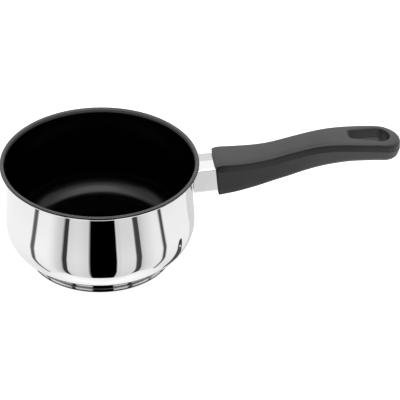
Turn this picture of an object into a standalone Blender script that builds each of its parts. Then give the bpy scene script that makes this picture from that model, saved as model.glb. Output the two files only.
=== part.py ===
"""A milk pan: a bellied steel bowl with a rolled pouring rim and a non-stick lining, on a layered base,
with a moulded handle that one long screw pulls against a steel flame guard.

Lengths are in metres. The origin is the centre of the base on the table, +Z is up and the handle points
along +X. A section point is (radius, height) on a turned piece and (across, height) on the handle and the
flame guard.
"""

from math import acos, atan2, cos, pi, radians, sin, sqrt, tan

import bmesh
import bpy
from mathutils import Vector

# Driving dimensions
BELLY_RADIUS = 0.0714
RIM_HEIGHT = 0.0822
BASE_HEIGHT = 0.0070
HANDLE_LENGTH = 0.1414
GAP = 0.0003

# Bowl: one steel sheet whose outer face runs through three tangent arcs into the rim's curl
SHEET = 0.0006
COAT = 0.0003
CORNER_RADIUS = 0.0232
WALL_BOW_RADIUS = 0.107
FLARE_RADIUS = 0.163
RIM_OVERHANG = 0.0036
BEAD_RADIUS = 0.0016
CURL_END = radians(-60.0)
COAT_END = radians(-5.0)
RIM_RADIUS = BELLY_RADIUS + RIM_OVERHANG

# Layered base
BASE_INSET = 0.0166
CAP_SHEET = 0.0008
CAP_HEIGHT = 0.0036
CAP_EDGE_RADIUS = 0.0014
DISC_EDGE_CHAMFER = 0.0003
BASE_RADIUS = BELLY_RADIUS - BASE_INSET

# Flame guard
GUARD_WIDTH = 0.0235
GUARD_HEIGHT = 0.0211
GUARD_DROP = 0.0070
GUARD_SHEET = 0.0008
GUARD_BEND_RADIUS = 0.0018
GUARD_CROWN = 0.0005
GUARD_RISE = radians(1.6)
GUARD_TAPER = radians(1.2)
GUARD_MID_HEIGHT = RIM_HEIGHT - GUARD_DROP - GUARD_HEIGHT / 2

# Screw, washer and nut on one sloping axis
SCREW_SLOPE = radians(8.5)
SCREW_RADIUS = 0.0025
SCREW_SHOULDER = 0.0016
SCREW_HEAD_HEIGHT = 0.0033
SCREW_HEAD_FILLET = 0.0006
SCREW_TIP_CHAMFER = 0.0006
SCREW_OVERRUN = 0.0015
SLOT_WIDTH = 0.0011
SLOT_MARGIN = 0.0018
SLOT_DEPTH = 0.0018
WASHER_THICKNESS = 0.0012
WASHER_BAND = 0.0012
WASHER_SPLIT = 0.0009
NUT_WALL = 0.0012
NUT_HEIGHT = 0.0040
NUT_CHAMFER = 0.0005
SCREW_HEAD_RADIUS = SCREW_RADIUS + SCREW_SHOULDER
WASHER_RADIUS = SCREW_RADIUS + GAP + WASHER_BAND
NUT_WIDTH = 2 * (SCREW_RADIUS + GAP + NUT_WALL)

# Bracket inside the flame guard
BRACKET_SHEET = 0.0015
BRACKET_BEND_RADIUS = 0.0016
BRACKET_SIDE_ROOM = 0.00065
BRACKET_HEADROOM = 0.0021
NUT_SIDE_ROOM = 0.0025
NUT_WALL_ROOM = 0.0033
BRACKET_WIDTH = NUT_WIDTH + 2 * (NUT_SIDE_ROOM + BRACKET_SHEET)
BRACKET_FOOT_WIDTH = GUARD_WIDTH - 2 * (GUARD_SHEET + BRACKET_SIDE_ROOM)
BRACKET_HEIGHT = GUARD_HEIGHT - 2 * (GUARD_SHEET + BRACKET_HEADROOM)
WEB_DISTANCE = BELLY_RADIUS + NUT_WALL_ROOM + SCREW_OVERRUN + NUT_HEIGHT + GAP + BRACKET_SHEET

# Handle: its face frames the flame guard, and its spigot reaches through the guard to the bracket's web
SPIGOT_LENGTH = 0.0056
SEAT_DISTANCE = 0.0400
FACE_TOP_MARGIN = 0.00495
FACE_BOTTOM_MARGIN = 0.00295
FACE_SIDE_MARGIN = 0.00185
FACE_SLOPE = radians(5.0)
FACE_BLEND = 0.0200
FRONT_EDGE_RADIUS = 0.0007
FRONT_ROLL_DROP = 0.0016
FRONT_ROLL_LENGTH = 0.0065
HANDLE_RISE = 0.0100
HANDLE_CROWN = 0.0010
TOP_EDGE_RADIUS = 0.0030
BOTTOM_EDGE_RADIUS = 0.0050
PARTING_DROP = 0.0079
SIDE_LEAN = radians(12.0)
TIP_LEAN = radians(14.0)
TIP_RADIUS = 0.0146
EDGE_LIMIT_SHARE = 0.46
CROWN_POINT_SHARE = 0.5
HANDLE_START = WEB_DISTANCE + SPIGOT_LENGTH
HANDLE_LEVEL = GUARD_MID_HEIGHT + GUARD_HEIGHT / 2 + FACE_TOP_MARGIN
HANDLE_DEPTH = GUARD_HEIGHT + FACE_TOP_MARGIN + FACE_BOTTOM_MARGIN
HANDLE_WIDTH = GUARD_WIDTH + 2 * FACE_SIDE_MARGIN

# Station as a share of the handle's length, beside a height as a share of its rise or depth, or a width
TOP_LINE_SHARES = (
    (0.0, 0.06), (0.05, 0.03), (0.10, 0.005), (0.16, 0.009), (0.22, 0.05), (0.28, 0.145), (0.34, 0.31),
    (0.40, 0.51), (0.46, 0.695), (0.52, 0.855), (0.58, 0.965), (0.64, 1.0), (0.70, 0.975), (0.76, 0.915),
    (0.82, 0.845), (0.86, 0.79), (0.90, 0.70), (0.94, 0.56), (1.0, 0.30),
)
BOTTOM_LINE_SHARES = (
    (0.0, 1.0), (0.06, 0.970), (0.12, 0.930), (0.22, 0.841), (0.32, 0.729), (0.39, 0.656), (0.455, 0.582),
    (0.525, 0.510), (0.595, 0.446), (0.66, 0.393), (0.73, 0.352), (0.80, 0.348), (0.86, 0.362), (1.0, 0.417),
)
WIDTH_SHARES = (
    (0.0, 1.0), (0.06, 0.995), (0.12, 0.983), (0.22, 0.92), (0.28, 0.877), (0.34, 0.853), (0.40, 0.842),
    (0.46, 0.84), (0.52, 0.852), (0.58, 0.88), (0.64, 0.922), (0.70, 0.967), (0.76, 1.01), (0.82, 1.033),
    (0.88, 1.035), (1.0, 1.035),
)
BOTTOM_EDGE_SHARES = ((0.0, 0.3), (0.3, 0.6), (0.6, 1.0), (1.0, 1.0))
LEAN_SHARES = ((0.0, 0.15), (0.35, 0.25), (0.6, 1.0), (1.0, 1.0))

# Hanging hole: a wide round end towards the tip and two small corners towards the pan
HOLE_LENGTH = 0.0312
HOLE_TIP_MARGIN = 0.0085
HOLE_WIDE_RADIUS = 0.0086
HOLE_NARROW_WIDTH = 0.0106
HOLE_CORNER_RADIUS = 0.0028
HOLE_EDGE = 0.0010
HOLE_DRAFT = 0.0003
HOLE_WIDE_X = HANDLE_START + HANDLE_LENGTH - HOLE_TIP_MARGIN - HOLE_WIDE_RADIUS
HOLE_CORNER_X = HANDLE_START + HANDLE_LENGTH - HOLE_TIP_MARGIN - HOLE_LENGTH + HOLE_CORNER_RADIUS
HOLE_CORNER_Y = HOLE_NARROW_WIDTH / 2 - HOLE_CORNER_RADIUS

# Facets
TURN_STEPS = 60
SMALL_TURN_STEPS = 20
CORNER_STEPS = 6
WALL_STEPS = 2
FLARE_STEPS = 5
CURL_STEPS = 6
COAT_CURL_STEPS = 4
EDGE_STEPS = 3
ROLL_STEPS = 3
BODY_STEPS = 16
TIP_STEPS = 6
TIP_END_ANGLE = radians(85.0)
HOLE_STEPS = 18
SMOOTH_ANGLE = radians(35.0)
CUTTER_OVERRUN = 0.0020
MERGE_DISTANCE = 0.000001

QUARTER = pi / 2
TURN = 2 * pi

# Finishes: colour, metallic value and roughness
FINISHES = {
    "polished_steel": ((0.80, 0.80, 0.80), 1.0, 0.08),
    "plated_steel": ((0.55, 0.55, 0.56), 1.0, 0.35),
    "aluminium": ((0.76, 0.76, 0.77), 1.0, 0.15),
    "nonstick_coating": ((0.006, 0.006, 0.006), 0.0, 0.25),
    "phenolic": ((0.03, 0.03, 0.03), 0.0, 0.45),
}


def clear_scene():
    """Empties the scene of what Blender starts with."""
    for thing in list(bpy.data.objects):
        bpy.data.objects.remove(thing, do_unlink=True)


def make_material(name):
    """A plain surface in one of the part's finishes."""
    colour, metallic, roughness = FINISHES[name]
    material = bpy.data.materials.new(name)
    material.use_nodes = True
    surface = material.node_tree.nodes["Principled BSDF"]
    surface.inputs["Base Color"].default_value = (*colour, 1.0)
    surface.inputs["Metallic"].default_value = metallic
    surface.inputs["Roughness"].default_value = roughness
    return material


def place(name, mesh, material, parent=None):
    """Links a mesh as a named object with its material and soft shading up to the sharp edges."""
    mesh.shade_smooth()
    mesh.set_sharp_from_angle(angle=SMOOTH_ANGLE)
    if material:
        mesh.materials.append(material)
    thing = bpy.data.objects.new(name, mesh)
    bpy.context.collection.objects.link(thing)
    thing.parent = parent
    return thing


def finish_mesh(name, shape):
    """Merges doubled points, turns all faces outward and gives the mesh."""
    bmesh.ops.remove_doubles(shape, verts=shape.verts, dist=MERGE_DISTANCE)
    bmesh.ops.recalc_face_normals(shape, faces=shape.faces)
    mesh = bpy.data.meshes.new(name)
    shape.to_mesh(mesh)
    shape.free()
    return mesh


def turned(name, section, steps=TURN_STEPS, sweep=TURN):
    """Turns a closed section round the Z axis; less than a whole turn gets flat ends."""
    shape = bmesh.new()
    points = [shape.verts.new((radius, 0, height)) for radius, height in section]
    whole = sweep == TURN
    if whole:
        edges = [shape.edges.new(pair) for pair in zip(points, points[1:] + points[:1]) if not on_axis(pair)]
        start = edges
    else:
        start = [shape.faces.new(points)]
    bmesh.ops.spin(shape, geom=start, axis=(0, 0, 1), cent=(0, 0, 0), angle=sweep, steps=steps,
                   use_merge=whole, use_duplicate=False)
    return finish_mesh(name, shape)


def on_axis(points):
    """Tells whether all the points lie on the turning axis."""
    return all(point.co.x == 0 for point in points)


def lofted(name, rings, closed_loop=False):
    """Skins rings of equal point counts, with flat ends or joined end to start."""
    shape = bmesh.new()
    loops = [[shape.verts.new(point) for point in ring] for ring in rings]
    pairs = list(zip(loops, loops[1:] + loops[:1] if closed_loop else loops[1:]))
    for one, other in pairs:
        for index in range(len(one)):
            after = (index + 1) % len(one)
            shape.faces.new((one[index], one[after], other[after], other[index]))
    if not closed_loop:
        shape.faces.new(loops[0])
        shape.faces.new(loops[-1])
    return finish_mesh(name, shape)


def cut(thing, cutter):
    """Takes the cutter's space out of a piece."""
    modifier = thing.modifiers.new("cut_" + cutter.name, 'BOOLEAN')
    modifier.operation = 'DIFFERENCE'
    modifier.solver = 'EXACT'
    modifier.object = cutter


def make_cutter(name, mesh, parent=None):
    """Links a cutter, which isn't a piece of the pan."""
    cutter = place(name, mesh, None, parent)
    cutter.hide_render = True
    cutter.display_type = 'WIRE'
    return cutter


def arc(centre, radius, start, end, steps):
    """Points along a circle from one angle to another."""
    angles = [start + (end - start) * step / steps for step in range(steps + 1)]
    return [Vector((centre[0] + radius * cos(angle), centre[1] + radius * sin(angle))) for angle in angles]


def circle_meeting(centre, radius, other_centre, other_radius):
    """The lower of the two points that lie at the given radii from two centres."""
    line = other_centre - centre
    along = (radius ** 2 - other_radius ** 2 + line.length_squared) / (2 * line.length)
    across = sqrt(radius ** 2 - along ** 2)
    direction = line.normalized()
    return centre + along * direction + across * Vector((direction.y, -direction.x))


def bowl_arcs():
    """Centres and angles of the bowl's tangent arcs: corner, wall, flare and the curl inside the bead."""
    corner = Vector((BELLY_RADIUS - CORNER_RADIUS, BASE_HEIGHT + CORNER_RADIUS))
    wall = Vector((BELLY_RADIUS - WALL_BOW_RADIUS, BASE_HEIGHT + CORNER_RADIUS))
    curl = Vector((RIM_RADIUS - BEAD_RADIUS, RIM_HEIGHT - BEAD_RADIUS))
    curl_radius = BEAD_RADIUS - SHEET - GAP - COAT
    flare = circle_meeting(wall, WALL_BOW_RADIUS + FLARE_RADIUS, curl, FLARE_RADIUS - curl_radius)
    lean = atan2(flare.y - wall.y, flare.x - wall.x)
    curl_start = atan2(curl.y - flare.y, curl.x - flare.x)
    return corner, wall, flare, curl, curl_radius, lean, curl_start


def bowl_wall(depth):
    """The line that lies a depth inside the bowl's outer face, from the axis to the end of the flare."""
    corner, wall, flare, _, _, lean, curl_start = bowl_arcs()
    line = [Vector((0, BASE_HEIGHT + depth))]
    line += arc(corner, CORNER_RADIUS - depth, -QUARTER, 0, CORNER_STEPS)
    line += arc(wall, WALL_BOW_RADIUS - depth, 0, lean, WALL_STEPS)[1:]
    line += arc(flare, FLARE_RADIUS + depth, pi + lean, curl_start, FLARE_STEPS)[1:]
    return line


def bowl_face(depth, curl_end, curl_steps):
    """The same line, carried on round the rim's curl."""
    _, _, _, curl, curl_radius, _, curl_start = bowl_arcs()
    return bowl_wall(depth) + arc(curl, curl_radius + depth, curl_start, curl_end, curl_steps)[1:]


def wall_radius(height):
    """Radius of the bowl's outer face at a height on its side wall."""
    _, wall, flare, _, _, lean, _ = bowl_arcs()
    if height > wall.y + WALL_BOW_RADIUS * sin(lean):
        return flare.x - sqrt(FLARE_RADIUS ** 2 - (height - flare.y) ** 2)
    return wall.x + sqrt(WALL_BOW_RADIUS ** 2 - (height - wall.y) ** 2)


def make_vessel(steel):
    """The pressed bowl: one sheet, rolled over at the rim."""
    outside = bowl_face(0, CURL_END, CURL_STEPS)
    inside = bowl_face(SHEET, CURL_END, CURL_STEPS)
    return place("vessel", turned("vessel", outside + inside[::-1]), steel)


def make_lining(coating):
    """The coat over the inside and the top of the rim."""
    under = bowl_face(SHEET + GAP, COAT_END, COAT_CURL_STEPS)
    over = bowl_face(SHEET + GAP + COAT, COAT_END, COAT_CURL_STEPS)
    return place("nonstick_lining", turned("nonstick_lining", under + over[::-1]), coating)


def make_heat_spreader(aluminium):
    """The aluminium disc, stepped so that its lower half sits inside the cap."""
    core_radius = BASE_RADIUS - CAP_SHEET - GAP
    foot = CAP_SHEET + GAP
    seam = CAP_HEIGHT + GAP
    top = BASE_HEIGHT - GAP
    section = [
        Vector((0, foot)), Vector((core_radius - CAP_EDGE_RADIUS, foot)),
        Vector((core_radius, foot + CAP_EDGE_RADIUS)), Vector((core_radius, seam)),
        Vector((BASE_RADIUS, seam)), Vector((BASE_RADIUS, top - DISC_EDGE_CHAMFER)),
        Vector((BASE_RADIUS - DISC_EDGE_CHAMFER, top)), Vector((0, top)),
    ]
    return place("heat_spreader_disc", turned("heat_spreader_disc", section), aluminium)


def make_base_cap(steel):
    """The steel cap with its rounded lower edge."""
    centre = (BASE_RADIUS - CAP_EDGE_RADIUS, CAP_EDGE_RADIUS)
    outside = [Vector((0, 0))] + arc(centre, CAP_EDGE_RADIUS, -QUARTER, 0, EDGE_STEPS)
    inner_edge = arc(centre, CAP_EDGE_RADIUS - CAP_SHEET, 0, -QUARTER, EDGE_STEPS)
    rim = [Vector((BASE_RADIUS, CAP_HEIGHT)), Vector((BASE_RADIUS - CAP_SHEET, CAP_HEIGHT))]
    section = outside + rim + inner_edge + [Vector((0, CAP_SHEET))]
    return place("base_cap", turned("base_cap", section), steel)


def make_bowl_cutter():
    """The bowl's whole inside and wall, a gap larger, which trims what is welded to the wall."""
    line = bowl_wall(-GAP)
    top = RIM_HEIGHT + CUTTER_OVERRUN
    section = line + [Vector((line[-1].x, top)), Vector((0, top))]
    return make_cutter("bowl_cutter", turned("bowl_cutter", section))


def crowned_ring(side, half, high, crown):
    """A closed section from its right side, whose points run from the bottom up, under a crowned top."""
    side = side + [Vector((half * CROWN_POINT_SHARE, high - crown * CROWN_POINT_SHARE ** 2))]
    return side + [Vector((0, high))] + [Vector((-point.x, point.y)) for point in side[::-1]]


def box_ring(distance, inset, face_slope=0.0):
    """The flame guard's section, inset on all sides, at a distance from the bowl's axis.

    The guard rises and narrows a little towards the handle. A face slope leans the ring, so that it stands
    square to the sloping screw."""
    half = GUARD_WIDTH / 2 - inset
    low = GUARD_MID_HEIGHT - GUARD_HEIGHT / 2 + inset
    high = GUARD_MID_HEIGHT + GUARD_HEIGHT / 2 - inset
    bend = max(GUARD_BEND_RADIUS - inset, GAP)
    shoulder = high - GUARD_CROWN
    side = arc((half - bend, low + bend), bend, -QUARTER, 0, EDGE_STEPS) + [Vector((half, GUARD_MID_HEIGHT))]
    side += arc((half - bend, shoulder - bend), bend, 0, QUARTER, EDGE_STEPS)
    placed = []
    for point in crowned_ring(side, half, high, GUARD_CROWN):
        x = distance - (point.y - GUARD_MID_HEIGHT) * tan(face_slope)
        to_handle = HANDLE_START - x
        y = point.x * (1 + to_handle * tan(GUARD_TAPER) / (GUARD_WIDTH / 2))
        placed.append(Vector((x, y, point.y - to_handle * tan(GUARD_RISE))))
    return placed


def make_flame_guard(steel, bowl_cutter):
    """The sheet sleeve round the bracket, with one end cut to the bowl's wall."""
    inner_end = wall_radius(GUARD_MID_HEIGHT) - GUARD_WIDTH / 2
    outer_end = HANDLE_START - GAP / cos(FACE_SLOPE)
    rings = [
        box_ring(inner_end, 0), box_ring(outer_end, 0, FACE_SLOPE),
        box_ring(outer_end, GUARD_SHEET, FACE_SLOPE), box_ring(inner_end, GUARD_SHEET),
    ]
    guard = place("flame_guard", lofted("flame_guard", rings, closed_loop=True), steel)
    cut(guard, bowl_cutter)
    return guard


def bend_path(corners, radius, steps):
    """An open path whose inner corners are rounded to a radius."""
    path = [corners[0]]
    for before, corner, after in zip(corners, corners[1:], corners[2:]):
        into = (corner - before).normalized()
        out = (after - corner).normalized()
        turn = acos(into.dot(out))
        side = 1 if into.cross(out) > 0 else -1
        reach = radius * tan(turn / 2)
        normal = Vector((-into.y, into.x)) * side
        centre = corner - into * reach + normal * radius
        start = atan2(-normal.y, -normal.x)
        path += arc(centre, radius, start, start + side * turn, steps)
    return path + [corners[-1]]


def strip(path, thickness):
    """The closed outline of a sheet that follows a path."""
    left, right = [], []
    for index, point in enumerate(path):
        before = path[max(index - 1, 0)]
        after = path[min(index + 1, len(path) - 1)]
        direction = (after - before).normalized()
        offset = Vector((-direction.y, direction.x)) * thickness / 2
        left.append(point + offset)
        right.append(point - offset)
    return left + right[::-1]


def bracket_ring(height):
    """The hat-shaped section of the bracket at a height: two feet, two cheeks and the web."""
    foot_y = BRACKET_FOOT_WIDTH / 2
    cheek_y = (BRACKET_WIDTH - BRACKET_SHEET) / 2
    foot_x = sqrt(wall_radius(height) ** 2 - foot_y ** 2) + GAP + BRACKET_SHEET / 2
    web_face = WEB_DISTANCE - (height - GUARD_MID_HEIGHT) * tan(SCREW_SLOPE)
    web_x = web_face - BRACKET_SHEET / 2 / cos(SCREW_SLOPE)
    corners = [
        Vector((foot_x, -foot_y)), Vector((foot_x, -cheek_y)), Vector((web_x, -cheek_y)),
        Vector((web_x, cheek_y)), Vector((foot_x, cheek_y)), Vector((foot_x, foot_y)),
    ]
    outline = strip(bend_path(corners, BRACKET_BEND_RADIUS, EDGE_STEPS), BRACKET_SHEET)
    return [Vector((point.x, point.y, height)) for point in outline]


def make_bracket(steel, bowl_cutter, screw_cutter):
    """The bracket, trimmed to the wall and bored for the screw."""
    low = GUARD_MID_HEIGHT - BRACKET_HEIGHT / 2
    high = GUARD_MID_HEIGHT + BRACKET_HEIGHT / 2
    rings = [bracket_ring(low), bracket_ring(high)]
    bracket = place("handle_bracket", lofted("handle_bracket", rings), steel)
    cut(bracket, bowl_cutter)
    cut(bracket, screw_cutter)
    return bracket


def make_screw_axis():
    """An empty whose Z axis is the screw's, from the web towards the handle's tip."""
    axis = bpy.data.objects.new("screw_axis", None)
    axis.location = (WEB_DISTANCE, 0, GUARD_MID_HEIGHT)
    axis.rotation_euler = (0, QUARTER - SCREW_SLOPE, 0)
    bpy.context.collection.objects.link(axis)
    return axis


def cylinder_section(radius, low, high):
    """The section of a plain cylinder."""
    return [Vector((0, low)), Vector((radius, low)), Vector((radius, high)), Vector((0, high))]


def rectangle(length, width, height):
    """The corners of a level rectangle round the Z axis."""
    x = length / 2
    y = width / 2
    return [Vector((*corner, height)) for corner in ((-x, -y), (x, -y), (x, y), (-x, y))]


def make_screw(steel, axis):
    """The long screw with its cheese head and cross slot."""
    tip = -BRACKET_SHEET - GAP - NUT_HEIGHT - SCREW_OVERRUN
    seat = SEAT_DISTANCE + GAP + WASHER_THICKNESS + GAP
    top = seat + SCREW_HEAD_HEIGHT
    fillet_centre = (SCREW_HEAD_RADIUS - SCREW_HEAD_FILLET, top - SCREW_HEAD_FILLET)
    section = [
        Vector((0, tip)), Vector((SCREW_RADIUS - SCREW_TIP_CHAMFER, tip)),
        Vector((SCREW_RADIUS, tip + SCREW_TIP_CHAMFER)), Vector((SCREW_RADIUS, seat)),
        Vector((SCREW_HEAD_RADIUS, seat)),
    ]
    section += arc(fillet_centre, SCREW_HEAD_FILLET, 0, QUARTER, EDGE_STEPS) + [Vector((0, top))]
    screw = place("handle_screw", turned("handle_screw", section, SMALL_TURN_STEPS), steel, axis)
    slot_length = 2 * (SCREW_HEAD_RADIUS - SLOT_MARGIN)
    slots = (("slot_along", slot_length, SLOT_WIDTH), ("slot_across", SLOT_WIDTH, slot_length))
    for name, length, width in slots:
        rings = [rectangle(length, width, height) for height in (top - SLOT_DEPTH, top + CUTTER_OVERRUN)]
        cut(screw, make_cutter(name, lofted(name, rings), axis))
    return screw


def make_washer(steel, axis):
    """The split spring washer under the screw's head."""
    low = SEAT_DISTANCE + GAP
    high = low + WASHER_THICKNESS
    inner = SCREW_RADIUS + GAP
    section = [
        Vector((inner, low)), Vector((WASHER_RADIUS, low)),
        Vector((WASHER_RADIUS, high)), Vector((inner, high)),
    ]
    sweep = TURN - WASHER_SPLIT / WASHER_RADIUS
    return place("spring_washer", turned("spring_washer", section, SMALL_TURN_STEPS, sweep), steel, axis)


def make_nut(steel, axis):
    """The square weld nut behind the bracket's web."""
    high = -BRACKET_SHEET - GAP
    low = high - NUT_HEIGHT
    end_width = NUT_WIDTH - 2 * NUT_CHAMFER
    rings = [
        rectangle(end_width, end_width, low), rectangle(NUT_WIDTH, NUT_WIDTH, low + NUT_CHAMFER),
        rectangle(NUT_WIDTH, NUT_WIDTH, high),
    ]
    nut = place("bracket_nut", lofted("bracket_nut", rings), steel, axis)
    bore = cylinder_section(SCREW_RADIUS + GAP, low - CUTTER_OVERRUN, high + CUTTER_OVERRUN)
    cut(nut, make_cutter("nut_bore", turned("nut_bore", bore, SMALL_TURN_STEPS), axis))
    return nut


def curve_value(shares, station):
    """Reads a smooth curve through a table of (station, value) shares."""
    index = max(i for i in range(len(shares) - 1) if shares[i][0] <= station or i == 0)
    (x0, y0), (x1, y1) = shares[index], shares[index + 1]
    before = shares[max(index - 1, 0)]
    after = shares[min(index + 2, len(shares) - 1)]
    span = x1 - x0
    slope0 = (y1 - before[1]) / (x1 - before[0]) * span
    slope1 = (after[1] - y0) / (after[0] - x0) * span
    t = (station - x0) / span
    return (
        y0 * (2 * t ** 3 - 3 * t ** 2 + 1) + slope0 * (t ** 3 - 2 * t ** 2 + t)
        + y1 * (3 * t ** 2 - 2 * t ** 3) + slope1 * (t ** 3 - t ** 2)
    )


def edge_fall(radius, distance):
    """How far a rounded edge has fallen away at a distance from the end it rounds."""
    return 0 if distance >= radius else radius - sqrt(radius ** 2 - (radius - distance) ** 2)


def front_roll(along):
    """How far the top rolls down towards the front face."""
    return FRONT_ROLL_DROP * max(0, 1 - along / FRONT_ROLL_LENGTH) ** 2


def handle_limits(along):
    """Top height, bottom height and half width of the handle at a distance from its front face."""
    station = along / HANDLE_LENGTH
    top = HANDLE_LEVEL + HANDLE_RISE * curve_value(TOP_LINE_SHARES, station)
    low = HANDLE_LEVEL - HANDLE_DEPTH * curve_value(BOTTOM_LINE_SHARES, station)
    half = HANDLE_WIDTH / 2 * curve_value(WIDTH_SHARES, station)
    return top, low, half


def handle_ring(along):
    """The handle's section: a crowned top, an upright side down to the parting line, and below it a leaning
    side that turns under."""
    station = along / HANDLE_LENGTH
    to_tip = HANDLE_LENGTH - along
    top, low, half = handle_limits(along)
    parting = top - PARTING_DROP
    turn = BOTTOM_EDGE_RADIUS * curve_value(BOTTOM_EDGE_SHARES, station)
    lean = SIDE_LEAN * curve_value(LEAN_SHARES, station)
    tip_share = max(0, 1 - to_tip / TIP_RADIUS)
    front_inset = edge_fall(FRONT_EDGE_RADIUS, along)
    half = half * sqrt(1 - tip_share ** 2) - front_inset
    top -= edge_fall(TOP_EDGE_RADIUS, to_tip) + front_roll(along) + front_inset
    low += edge_fall(turn, to_tip) + front_inset
    upper = min(TOP_EDGE_RADIUS, half * EDGE_LIMIT_SHARE)
    turn = min(turn, half * EDGE_LIMIT_SHARE)
    crown = HANDLE_CROWN * half / (HANDLE_WIDTH / 2)
    turn_end = low + turn - turn * sin(lean)
    turn_x = half - (parting - turn_end) * tan(lean) - turn * cos(lean)
    side = arc((max(turn_x, 0), low + turn), turn, -QUARTER, -lean, EDGE_STEPS) + [Vector((half, parting))]
    side += arc((half - upper, top - crown - upper), upper, 0, QUARTER, EDGE_STEPS)
    face_share = max(0, 1 - along / FACE_BLEND)
    placed = []
    for point in crowned_ring(side, half, top, crown):
        face_shift = (point.y - GUARD_MID_HEIGHT) * tan(FACE_SLOPE) * face_share
        tip_shift = max(0, parting - point.y) * tan(TIP_LEAN) * tip_share
        placed.append(Vector((HANDLE_START + along - face_shift - tip_shift, point.x, point.y)))
    return placed


def handle_stations():
    """Distances of the handle's sections from its front face: close together at both rounded ends."""
    body_end = HANDLE_LENGTH - TIP_RADIUS
    stations = [FRONT_EDGE_RADIUS * (1 - cos(QUARTER * step / EDGE_STEPS)) for step in range(EDGE_STEPS + 1)]
    stations += between(FRONT_EDGE_RADIUS, FRONT_ROLL_LENGTH, ROLL_STEPS)
    stations += between(FRONT_ROLL_LENGTH, body_end, BODY_STEPS)
    tip_angles = between(0, TIP_END_ANGLE, TIP_STEPS)
    return stations + [body_end + TIP_RADIUS * sin(angle) for angle in tip_angles]


def between(start, end, steps):
    """Even steps from just after the start to the end."""
    return [start + (end - start) * step / steps for step in range(1, steps + 1)]


def hole_outline(growth):
    """The hanging hole in plan, grown on all sides: narrow towards the pan, round towards the tip."""
    back = Vector((HOLE_CORNER_X - HOLE_WIDE_X, HOLE_CORNER_Y))
    side = atan2(back.y, back.x) - acos((HOLE_WIDE_RADIUS - HOLE_CORNER_RADIUS) / back.length)
    outline = arc((HOLE_WIDE_X, 0), HOLE_WIDE_RADIUS + growth, -side, side, HOLE_STEPS)
    corner = arc((HOLE_CORNER_X, HOLE_CORNER_Y), HOLE_CORNER_RADIUS + growth, side, pi, EDGE_STEPS)
    return outline + corner + [Vector((point.x, -point.y)) for point in corner[::-1]]


def make_hole_cutter():
    """The hanging hole: drafted both ways from the parting line, with a chamfered mouth on each face."""
    mouth = HOLE_EDGE + HOLE_DRAFT + CUTTER_OVERRUN
    rings = [
        hole_ring(-1, CUTTER_OVERRUN, mouth), hole_ring(-1, -HOLE_EDGE, HOLE_DRAFT), hole_ring(0, 0, 0),
        hole_ring(1, -HOLE_EDGE, HOLE_DRAFT), hole_ring(1, CUTTER_OVERRUN, mouth),
    ]
    return make_cutter("hanging_hole_cutter", lofted("hanging_hole_cutter", rings))


def hole_ring(side, outward, growth):
    """The hole near the upper face (side 1), at the parting line (0) or near the lower face (-1)."""
    ring = []
    for point in hole_outline(growth):
        top, low, _ = handle_limits(point.x - HANDLE_START)
        level = {1: top, 0: top - PARTING_DROP, -1: low}[side]
        ring.append(Vector((point.x, point.y, level + side * outward)))
    return ring


def make_handle(phenolic, screw_cutter, access_cutter):
    """The moulded handle: a lofted grip with a spigot, a screw bore and a hanging hole."""
    clearance = GUARD_SHEET + GAP
    spigot_end = WEB_DISTANCE + GAP / cos(SCREW_SLOPE)
    rings = [box_ring(spigot_end, clearance, SCREW_SLOPE), box_ring(HANDLE_START, clearance, FACE_SLOPE)]
    rings += [handle_ring(along) for along in handle_stations()]
    handle = place("handle", lofted("handle", rings), phenolic)
    for cutter in (make_hole_cutter(), screw_cutter, access_cutter):
        cut(handle, cutter)
    return handle


def make_screw_cutters(axis):
    """The screw's clearance bore, and the wider bore that lets its head in from the hanging hole."""
    reach = (HOLE_CORNER_X - WEB_DISTANCE) / cos(SCREW_SLOPE)
    start = -BRACKET_SHEET - CUTTER_OVERRUN
    clearance = cylinder_section(SCREW_RADIUS + GAP, start, SEAT_DISTANCE + CUTTER_OVERRUN)
    access = cylinder_section(SCREW_HEAD_RADIUS + GAP, SEAT_DISTANCE, reach)
    return (
        make_cutter("screw_bore", turned("screw_bore", clearance, SMALL_TURN_STEPS), axis),
        make_cutter("access_bore", turned("access_bore", access, SMALL_TURN_STEPS), axis),
    )


def make_pan():
    """Builds every piece of the pan."""
    clear_scene()
    polished = make_material("polished_steel")
    plated = make_material("plated_steel")

    make_vessel(polished)
    make_lining(make_material("nonstick_coating"))
    make_heat_spreader(make_material("aluminium"))
    make_base_cap(polished)

    axis = make_screw_axis()
    bowl_cutter = make_bowl_cutter()
    screw_cutter, access_cutter = make_screw_cutters(axis)
    make_flame_guard(polished, bowl_cutter)
    make_bracket(plated, bowl_cutter, screw_cutter)
    make_nut(plated, axis)
    make_screw(plated, axis)
    make_washer(plated, axis)
    make_handle(make_material("phenolic"), screw_cutter, access_cutter)


make_pan()
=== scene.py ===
"""Looks for the milk pan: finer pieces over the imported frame, their materials, a plain pale studio and the
camera.

Lengths are in metres, in the frame's axes: +Z up, the handle along +X, the camera on the -Y side. A section
point is (radius, height) on a turned piece and (across, height) on the handle and the flame guard.
"""

from math import acos, atan, atan2, cos, pi, radians, sin, sqrt, tan

import bmesh
import bpy
from mathutils import Matrix, Vector


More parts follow.
